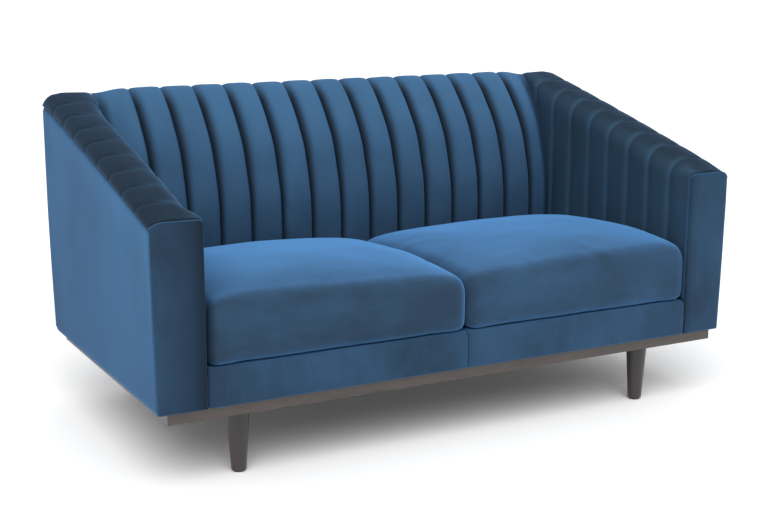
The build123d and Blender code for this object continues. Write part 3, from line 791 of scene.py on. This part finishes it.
def makeCoverRings(look):
    # The side cover wraps a little way round onto the front and the rear.
    floorZ = coverLow.z
    corner = look["corner"]
    rings = []
    shades = []
    front = frontY + look["behind"]
    plan = [(0.0, front + 0.0006, True)]
    for step in range(7):
        turn = pi / 2 * step / 6
        plan.append((corner * (1 - sin(turn)), front + corner * (1 - cos(turn)), False))
    for step in range(1, 60):
        plan.append((0.0, frontY + corner + (rearY - frontY - 2 * corner) * step / 60, False))
    for step in range(7):
        turn = pi / 2 * step / 6
        plan.append((corner * (1 - cos(turn)), rearY - corner * (1 - sin(turn)), False))
    plan.append((0.0, rearY - 0.0004, True))
    for row in range(look["rows"] + 1):
        v = row / look["rows"]
        ring = []
        shades.append([])
        for inset, y, hidden in plan:
            topZ = seamHeight(y) if y > frontY + corner else seamHeight(y) - 0.002
            z = floorZ + (topZ - floorZ) * v
            # A painted highlight along the top of the side, under the seam.
            shades[-1].append(-0.9 * ease(1.0 - (topZ - z) / 0.110))
            lean = sideLean(z)
            near = min(z - floorZ, topZ - z)
            soft = look["softEdge"] * roundOver(near / look["softEdge"])
            puff = ripple(Vector((0.7, y * 0.7, z)), 0.16, look["ripple"])
            x = coverHigh.x - lean - inset - soft + puff * (1.0 if inset == 0.0 else 0.3)
            if hidden:
                x = coverLow.x
            ring.append(Vector((x, y, z)))
        ring += [
            Vector((coverLow.x, rearY - 0.03, floorZ + (seamHeight(rearY - 0.03) - floorZ) * v)),
            Vector((coverLow.x, frontY + 0.03, floorZ + (seamHeight(frontY + 0.03) - floorZ) * v)),
        ]
        rings.append(ring)
    return rings, shades


coverRings, coverShades = makeCoverRings(coverLook)
for side, rings in (("right", coverRings), ("left", mirroredRings(coverRings))):
    cover = newPiece(side + "ArmSide", skinFromRings(rings, coverShades), velvetSide)
    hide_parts(side + "_arm_outer_cover")
print("arms ready")


outerBackLook = {"ripple": 0.0014, "softEdge": 0.004, "columns": 120, "rows": 40}
outerLow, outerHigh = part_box("back_outer_cover")


def makeOuterBackRings(look):
    rings = []
    for column in range(look["columns"] + 1):
        u = 0.5 - 0.5 * cos(pi * column / look["columns"])
        x = outerLow.x + (outerHigh.x - outerLow.x) * u
        ring = []
        for row in range(look["rows"] + 1):
            v = 0.5 - 0.5 * cos(pi * row / look["rows"])
            z = outerLow.z + (outerHigh.z - outerLow.z) * v
            near = min(x - outerLow.x, outerHigh.x - x, z - outerLow.z, outerHigh.z - z)
            soft = look["softEdge"] * roundOver(near / look["softEdge"])
            wave = ripple(Vector((x, 0.4, z)), 0.15, look["ripple"])
            ring.append(Vector((x, outerHigh.y - 0.0005 - soft + wave, z)))
        ring += [Vector((x, outerLow.y, outerHigh.z)), Vector((x, outerLow.y, outerLow.z))]
        rings.append(ring)
    return rings


outerBack = newPiece("outerBack", skinFromRings(makeOuterBackRings(outerBackLook)), velvetSide)
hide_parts("back_outer_cover")


borderLook = {
    "topRadius": 0.011,
    "bottomRadius": 0.006,
    "endRadius": 0.007,
    "bulge": 0.0018,
    "columns": 90,
}
borderLow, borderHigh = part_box("right_base_border")


def makeBorderRings(look):
    front = borderLow.y
    foot = look["bottomRadius"]
    brow = look["topRadius"]
    rings = []
    for column in range(look["columns"] + 1):
        u = 0.5 - 0.5 * cos(pi * column / look["columns"])
        x = borderLow.x + (borderHigh.x - borderLow.x) * u
        near = min(x - borderLow.x, borderHigh.x - x)
        end = look["endRadius"] * roundOver(near / look["endRadius"])
        face = front + end
        top = borderHigh.z - end * 0.5
        line = []
        for step in range(7):
            turn = pi / 2 * step / 6
            line.append((face + foot * (1 - sin(turn)), borderLow.z + foot * (1 - cos(turn))))
        for step in range(1, 14):
            v = step / 14
            z = borderLow.z + foot + (borderHigh.z - borderLow.z - foot - brow) * v
            wave = ripple(Vector((x, 0.0, z)), 0.08, 0.0012)
            line.append((face - look["bulge"] * 0.5 * sin(pi * v) + wave, z))
        for step in range(9):
            turn = pi / 2 * step / 8
            line.append((face + brow * (1 - cos(turn)), top - brow * (1 - sin(turn))))
        under = borderHigh.z - 0.017
        line += [(borderHigh.y - 0.02, top), (borderHigh.y, borderHigh.z), (borderHigh.y, under)]
        line += [(front + 0.013, under), (front + 0.013, borderLow.z)]
        rings.append([Vector((x, y, z)) for y, z in line])
    return rings


borderRings = makeBorderRings(borderLook)
for side, rings in (("right", borderRings), ("left", mirroredRings(borderRings))):
    border = newPiece(side + "BaseBorder", skinFromRings(rings), velvetFront)
    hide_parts(side + "_base_border")
print("border and outer back ready")


# give is how much of the filling's push is kept once the cushion is sat in, edge the height at the
# sewn top edge, and armRise how much higher the end by the arm stands than the other end.
cushionLook = {
    "voxel": 0.006,
    "pressure": 4.0,
    "steps": 20,
    "reach": 0.024,
    "give": 0.16,
    "edge": 0.149,
    "crown": 0.023,
    "armRise": 0.010,
    "endFall": 0.014,
    "rearFall": 0.012,
    "topRound": 0.030,
    "bottomRound": 0.017,
    "rearTopRound": 0.030,
    "rearBottomRound": 0.014,
    "endRound": 0.024,
    "frontSwell": 0.0035,
    "hollows": 0.0030,
    "smoothing": 14,
    # How far the painted shade reaches in from the end by the arm.
    "armEnd": 0.026,
    "fill": 0.7,
}


def cushionSpace(side):
    low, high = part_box(side + "_seat_cushion_cover")
    return Vector(low), Vector(high)


def arc(centre, radius, start, steps):
    # A quarter turn from one side of a corner to the next, in front-to-back and height.
    turns = [start + pi / 2 * step / steps for step in range(steps + 1)]
    return [(centre[0] + radius * cos(turn), centre[1] + radius * sin(turn)) for turn in turns]


def turnedBack(points, at):
    # The same curve facing the other way, front for back.
    return [(2 * at - y, z) for y, z in points]


def topHeight(outward, v, look):
    # The seat's height at a place across it, from the inner end to the arm, and from front to rear.
    crown = look["crown"] * (1.0 - abs(outward) ** 2.6) * (1.0 - abs(2.0 * v - 1.0) ** 2.4)
    edge = look["edge"] + look["armRise"] * outward * (1.0 - 0.6 * v)
    edge -= look["endFall"] * abs(outward) ** 6 + look["rearFall"] * v * v
    pinch = 0.010 * max(outward, 0.0) ** 8 * (1.0 - v) ** 6 + 0.008 * abs(outward) ** 6 * v ** 3
    swell = 0.010 * (1.0 - abs(2.0 * v - 1.0) ** 2.0) * abs(outward) ** 4
    return edge + crown + swell - pinch


def cutCushion(side, low, high, look):
    # The sewn form: rounded over its front edge, crowned in the middle, tucked in at each end.
    size = high - low
    sign = 1.0 if side == "right" else -1.0
    foot = look["bottomRound"]
    topRound = look["topRound"]
    rearRound = look["rearTopRound"]
    rearFoot = look["rearBottomRound"]
    rings = []
    for column in range(121):
        u = -cos(pi * column / 120)
        near = size.x / 2 * (1.0 - abs(u))
        inset = look["endRound"] * roundOver(near / look["endRound"])
        front = low.y + inset * 0.75
        rear = high.y - inset * 0.75
        bottom = low.z + inset * 0.6
        frontTop = low.z + topHeight(sign * u, 0.0, look) - inset
        rearTop = low.z + topHeight(sign * u, 1.0, look) - inset
        line = turnedBack(arc((front + foot, bottom + foot), foot, -pi / 2, 6), front + foot)
        straight = frontTop - topRound - bottom - foot
        line += [(front, bottom + foot + straight * step / 10) for step in range(1, 10)]
        brow = arc((front + topRound, frontTop - topRound), topRound, 0.0, 8)
        line += turnedBack(brow, front + topRound)
        for step in range(1, 40):
            v = step / 40
            y = front + topRound + (rear - front - topRound - rearRound) * v
            z = low.z + topHeight(sign * u, v, look) - inset
            line.append((y, z))
        line += arc((rear - rearRound, rearTop - rearRound), rearRound, 0.0, 6)[::-1]
        line += arc((rear - rearFoot, bottom + rearFoot), rearFoot, -pi / 2, 4)[::-1]
        ring = []
        for y, z in line:
            level = (z - low.z) / look["edge"]
            swell = look["frontSwell"] * sin(pi * min(max(level, 0.0), 1.0)) * (1.0 - u * u)
            x = (low.x + high.x) / 2 + size.x / 2 * u
            ring.append(Vector((x, y - (swell if y < low.y + 0.02 else 0.0), z)))
        rings.append(ring)
    return skinFromRings(rings)


def settleCushion(mesh, low, high, look, seed):
    # Press the form against the deck and its neighbours, with the small hollows of a used seat.
    for vert in mesh.vertices:
        point = vert.co
        up = min(max((point.z - low.z) / (high.z - low.z), 0.0), 1.0)
        hollow = noise.noise(Vector((point.x * 6.0 + seed, point.y * 6.0, point.z * 4.0)))
        point.z += hollow * look["hollows"] * up
        point.y += noise.noise(Vector((point.x * 9.0, point.z * 9.0, seed))) * 0.0012
        point.x = min(max(point.x, low.x + 0.0006), high.x - 0.0006)
        point.y = min(max(point.y, low.y + 0.0002), high.y - 0.0008)
        point.z = max(point.z, low.z + 0.0002)


def fillCushion(piece, look):
    # Blow the cut form up like a stuffed cover, hold each point near its start, keep the result.
    start = [vert.co.copy() for vert in piece.data.vertices]
    cloth = piece.modifiers.new("fill", "CLOTH")
    cloth.settings.quality = 5
    cloth.settings.mass = 0.3
    cloth.settings.tension_stiffness = 22.0
    cloth.settings.compression_stiffness = 22.0
    cloth.settings.shear_stiffness = 10.0
    cloth.settings.bending_stiffness = 4.0
    cloth.settings.use_pressure = True
    cloth.settings.uniform_pressure_force = look["pressure"]
    cloth.settings.effector_weights.gravity = 0.0
    cloth.collision_settings.use_collision = False
    cloth.collision_settings.use_self_collision = False
    cloth.point_cache.frame_start = 1
    cloth.point_cache.frame_end = look["steps"]
    for step in range(1, look["steps"] + 1):
        bpy.context.scene.frame_set(step)
    graph = bpy.context.evaluated_depsgraph_get()
    filled = bpy.data.meshes.new_from_object(piece.evaluated_get(graph))
    piece.modifiers.clear()
    for vert, at in zip(filled.vertices, start):
        move = (vert.co - at) * look["give"]
        if move.length > look["reach"]:
            move = move.normalized() * look["reach"]
        vert.co = at + move
    old = piece.data
    piece.data = filled
    bpy.data.meshes.remove(old)
    bpy.context.scene.frame_set(1)


def applyTop(piece):
    # Keep what the piece's modifiers make, so none is left live.
    graph = bpy.context.evaluated_depsgraph_get()
    made = bpy.data.meshes.new_from_object(piece.evaluated_get(graph))
    piece.modifiers.clear()
    old = piece.data
    piece.data = made
    bpy.data.meshes.remove(old)


def shadeArmEnd(mesh, side, low, high, reach):
    # Painted shade at the end that lies against the arm.
    groove = mesh.attributes.get("groove") or mesh.attributes.new("groove", "FLOAT", "POINT")
    for place, vert in enumerate(mesh.vertices):
        gap = high.x - vert.co.x if side == "right" else vert.co.x - low.x
        groove.data[place].value = 0.75 * ease(1.0 - gap / reach)


def makeCushion(side, look, seed):
    low, high = cushionSpace(side)
    mesh = bpy.data.meshes.new(side + "SeatCushion")
    bm = cutCushion(side, low, high, look)
    bm.to_mesh(mesh)
    bm.free()
    piece = bpy.data.objects.new(side + "SeatCushion", mesh)
    bpy.context.scene.collection.objects.link(piece)
    remesh = piece.modifiers.new("remesh", "REMESH")
    remesh.mode = "VOXEL"
    remesh.voxel_size = look["voxel"]
    remesh.use_smooth_shade = True
    applyTop(piece)
    fillCushion(piece, look)
    settleCushion(piece.data, low, high, look, seed)
    smooth = piece.modifiers.new("smooth", "SMOOTH")
    smooth.factor = 0.5
    smooth.iterations = look["smoothing"]
    applyTop(piece)
    for polygon in piece.data.polygons:
        polygon.use_smooth = True
    shadeArmEnd(piece.data, side, low, high, look["armEnd"])
    dressed(piece, velvetSeat)
    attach(piece, side + "_cushion")
    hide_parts(side + "_seat_cushion_cover", side + "_seat_cushion_core")
    print(side, "cushion filled,", len(piece.data.vertices), "points")
    return piece


cushions = {
    side: makeCushion(side, cushionLook, seed)
    for side, seed in (("left", 3.0), ("right", 11.0))
}


zipLook = {"tape": 0.0095, "coil": 0.0016, "proud": 0.0006}


def makeZip(side, look):
    low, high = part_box(side + "_seat_cushion_zip")
    cushion = cushions[side]
    tree = BVHTree.FromPolygons(
        [vert.co for vert in cushion.data.vertices],
        [polygon.vertices for polygon in cushion.data.polygons],
    )
    bm = bmesh.new()
    bmesh.ops.create_grid(bm, x_segments=90, y_segments=6, size=0.5)
    middle = (low + high) / 2
    for vert in bm.verts:
        x = middle.x + vert.co.x * (high.x - low.x)
        z = middle.z + vert.co.y * (high.z - low.z)
        hit = tree.ray_cast(Vector((x, high.y + 0.05, z)), Vector((0.0, -1.0, 0.0)))
        coil = look["coil"] * max(0.0, 1.0 - abs(vert.co.y) / 0.2)
        surface = hit[0].y if hit[0] else high.y
        vert.co = Vector((x, min(surface + look["proud"] + coil * 0.5, high.y), z))
    bmesh.ops.recalc_face_normals(bm, faces=bm.faces)
    bmesh.ops.solidify(bm, geom=bm.faces[:], thickness=0.0012)
    bmesh.ops.recalc_face_normals(bm, faces=bm.faces)
    zipPiece = newPiece(side + "CushionZip", bm, zipCloth, side + "_cushion")
    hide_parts(side + "_seat_cushion_zip")


for side in ("left", "right"):
    makeZip(side, zipLook)


deckLow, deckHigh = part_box("seat_deck_pad")
deckLook = {"swell": 0.0022, "springPitch": 0.150, "columns": 100, "rows": 40}


def makeDeckRings(look):
    rings = []
    columns = look["columns"]
    rows = look["rows"]
    for column in range(columns + 1):
        x = deckLow.x + (deckHigh.x - deckLow.x) * column / columns
        line = []
        for row in range(rows + 1):
            y = deckLow.y + (deckHigh.y - deckLow.y) * row / rows
            edge = min(1.0, min(column, columns - column) / 6, min(row, rows - row) / 3)
            wave = 0.5 + 0.5 * cos(2 * pi * (x / look["springPitch"] + 0.5))
            dip = look["swell"] * edge * (1.0 - wave)
            line.append(Vector((x, y, deckHigh.z - 0.0005 - dip - 0.001)))
        line += [Vector((x, deckHigh.y, deckLow.z)), Vector((x, deckLow.y, deckLow.z))]
        rings.append(line)
    return rings


deck = newPiece("seatDeck", skinFromRings(makeDeckRings(deckLook)), deckCloth, "sofa")
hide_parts("seat_deck_pad")


seamLook = {"radius": 0.0009, "sides": 3}


def armTopSeam(t):
    y = frontY + 0.004 + (rearY - frontY - 0.010) * t
    z = seamHeight(frontY + (rearY - frontY) * t) + 0.0002
    return Vector((coverHigh.x - 0.0016, y, z))


def panelTopSeam(t):
    x = panelLow.x + 0.002 + (coverLow.x - panelLow.x - 0.002) * t
    return Vector((x, panelHigh.y - 0.0105, panelTop(x) - 0.0003))


def panelSideSeam(t):
    z = coverLow.z + 0.004 + (frontSeam - coverLow.z - 0.006) * t
    return Vector((coverHigh.x - sideLean(z) - 0.0022, frontY + 0.0070, z))


def rearSideSeam(t):
    z = outerLow.z + 0.004 + (rearSeam - outerLow.z - 0.006) * t
    return Vector((outerHigh.x, rearY - 0.0012, z))


def rearTopSeam(t):
    return Vector((outerHigh.x * (2.0 * t - 1.0), rearY - 0.0010, rearSeam))


def sewSeam(name, path, steps, sign, material):
    # A blind seam shows as a fine raised line where two panels meet.
    line = bpy.data.curves.new(name, "CURVE")
    line.dimensions = "3D"
    line.bevel_depth = seamLook["radius"]
    line.bevel_resolution = seamLook["sides"]
    line.use_fill_caps = True
    spline = line.splines.new("POLY")
    spline.points.add(steps)
    for step, place in enumerate(spline.points):
        point = path(step / steps)
        place.co = (point.x * sign, point.y, point.z, 1.0)
    thread = bpy.data.objects.new(name, line)
    bpy.context.scene.collection.objects.link(thread)
    graph = bpy.context.evaluated_depsgraph_get()
    mesh = bpy.data.meshes.new_from_object(thread.evaluated_get(graph))
    bpy.data.objects.remove(thread)
    seam = bpy.data.objects.new(name, mesh)
    bpy.context.scene.collection.objects.link(seam)
    for polygon in mesh.polygons:
        polygon.use_smooth = True
    dressed(seam, material)
    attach(seam, "sofa")


for side, sign in (("right", 1), ("left", -1)):
    sewSeam(side + "ArmTopSeam", armTopSeam, 80, sign, velvetArm)
    sewSeam(side + "PanelTopSeam", panelTopSeam, 40, sign, velvetSide)
    sewSeam(side + "PanelSideSeam", panelSideSeam, 40, sign, velvetSide)
    sewSeam(side + "RearSideSeam", rearSideSeam, 40, sign, velvetSide)
sewSeam("rearTopSeam", rearTopSeam, 120, 1, velvetSide)
print("cushions, deck and seams ready")


liningLook = {
    "sag": 0.0025,
    "legReach": 0.030,
    "legFade": 0.080,
    "legHole": 0.021,
    "columns": 60,
    "rows": 32,
}
liningLow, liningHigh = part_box("dust_cover")
legBoxes = [
    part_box(name)
    for name in ("front_left_leg", "front_right_leg", "rear_left_leg", "rear_right_leg")
]


def legDistance(x, y):
    # How far a place is from the middle of the nearest leg.
    return min(
        hypot(x - (low.x + high.x) / 2, y - (low.y + high.y) / 2)
        for low, high in legBoxes
    )


def makeLining(look):
    bm = bmesh.new()
    bmesh.ops.create_grid(bm, x_segments=look["columns"], y_segments=look["rows"], size=0.5)
    for vert in bm.verts:
        u, v = vert.co.x * 2, vert.co.y * 2
        x = liningLow.x + (liningHigh.x - liningLow.x) * (u + 1) / 2
        y = liningLow.y + (liningHigh.y - liningLow.y) * (v + 1) / 2
        near = (legDistance(x, y) - look["legReach"]) / look["legFade"]
        hang = look["sag"] * (1 - u * u) * (1 - v * v) * min(max(near, 0.0), 1.0)
        vert.co = Vector((x, y, liningLow.z - hang))
    hole = look["legHole"]
    holes = [vert for vert in bm.verts if legDistance(vert.co.x, vert.co.y) < hole]
    bmesh.ops.delete(bm, geom=holes, context="VERTS")
    bmesh.ops.recalc_face_normals(bm, faces=bm.faces)
    bmesh.ops.solidify(bm, geom=bm.faces[:], thickness=0.0006)
    bmesh.ops.recalc_face_normals(bm, faces=bm.faces)
    return bm


lining = newPiece("underLining", makeLining(liningLook), liningCloth, "sofa")
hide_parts("dust_cover")


roomLook = {
    "floor": (0.96, 0.96, 0.96),
    "floorHalf": 60.0,
    "wall": 1.05,
    "around": 0.80,
    "sun": 2.15,
    "sunSpread": 50.0,
    "sunFrom": (-0.30, -0.62, 0.80),
}


def makeRoom(look):
    bm = bmesh.new()
    bmesh.ops.create_grid(bm, x_segments=2, y_segments=2, size=look["floorHalf"])
    mesh = bpy.data.meshes.new("floor")
    bm.to_mesh(mesh)
    bm.free()
    floor = bpy.data.objects.new("floor", mesh)
    bpy.context.scene.collection.objects.link(floor)
    paint = Finish("floorPaint")
    dressed(floor, paint.shader(Base_Color=look["floor"], Roughness=0.9, Specular_IOR_Level=0.1))
    # The backdrop is plain white to look at, and gives a softer light.
    world = bpy.data.worlds.new("studio")
    bpy.context.scene.world = world
    world.use_nodes = True
    tree = world.node_tree
    seen = Wire(tree, tree.nodes.new("ShaderNodeLightPath").outputs["Is Camera Ray"])
    fillSocket(tree, tree.nodes["Background"].inputs["Color"], (1.0, 1.0, 1.0))
    strength = seen * (look["wall"] - look["around"]) + look["around"]
    fillSocket(tree, tree.nodes["Background"].inputs["Strength"], strength)


def softSun(look):
    lamp = bpy.data.lights.new("softSun", "SUN")
    lamp.energy = look["sun"]
    lamp.angle = radians(look["sunSpread"])
    light = bpy.data.objects.new("softSun", lamp)
    light.rotation_euler = Vector(look["sunFrom"]).to_track_quat("Z", "Y").to_euler()
    bpy.context.scene.collection.objects.link(light)


makeRoom(roomLook)
softSun(roomLook)

cameraLook = {
    "at": (-1.6407, -3.0086, 1.1140),
    "turn": -28.4,
    "tilt": 77.3,
    "lean": 0.2,
    "lens": 65.22,
}
lensData = bpy.data.cameras.new("camera")
lensData.lens = cameraLook["lens"]
lensData.sensor_width = 36.0
camera = bpy.data.objects.new("camera", lensData)
camera.matrix_world = (
    Matrix.Translation(cameraLook["at"])
    @ Matrix.Rotation(radians(cameraLook["turn"]), 4, "Z")
    @ Matrix.Rotation(radians(cameraLook["tilt"]), 4, "X")
    @ Matrix.Rotation(radians(cameraLook["lean"]), 4, "Z")
)
bpy.context.scene.collection.objects.link(camera)
bpy.context.scene.camera = camera
bpy.context.scene.view_settings.view_transform = "Standard"
print("room, light and camera ready")
